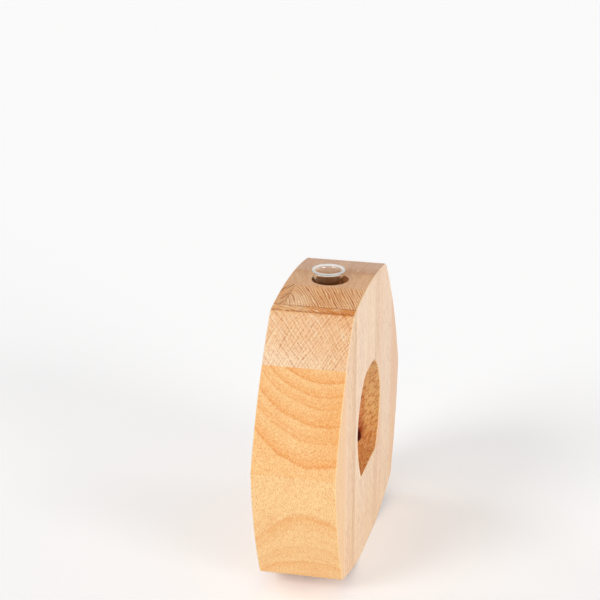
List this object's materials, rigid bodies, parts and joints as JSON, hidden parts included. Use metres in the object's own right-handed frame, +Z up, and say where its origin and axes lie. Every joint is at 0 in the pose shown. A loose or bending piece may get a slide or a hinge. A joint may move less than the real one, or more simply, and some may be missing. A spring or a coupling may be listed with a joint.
{
  "type": "bud vase",
  "caption": "Wooden block vase glued from upright boards, with a bowed outline, a window through its middle and a lift-out glass tube for a stem or two.",
  "frame": {"origin": "centre of the flat base that the block stands on", "axes": "+Z up, Y across the glued boards and along the vase's width, X through its thickness and through the window; the picture looks along +Y and a little to -X"},
  "size_m": [0.045, 0.175, 0.1588],
  "materials": {
    "beech": "sanded and oiled beech, satin, with upright grain and end grain on the crown",
    "beech_face": "sanded and oiled beech, satin, with arched growth rings across the rounded face",
    "clear_glass": "clear polished glass"
  },
  "bodies": {
    "block": {"stave_front_outer": "beech_face", "stave_front_middle": "beech", "stave_front_inner": "beech", "stave_front_inner_lath": "beech", "stave_centre_lower": "beech", "stave_centre_upper": "beech", "stave_back_inner": "beech", "stave_back_middle": "beech", "stave_back_outer": "beech_face"},
    "tube": {"glass_tube": "clear_glass"}
  },
  "joints": [
    {"name": "tube_lift", "type": "slide", "parent": "block", "child": "tube", "axis": [0, 0, 1], "range_m": [0, 0.15]}
  ]
}
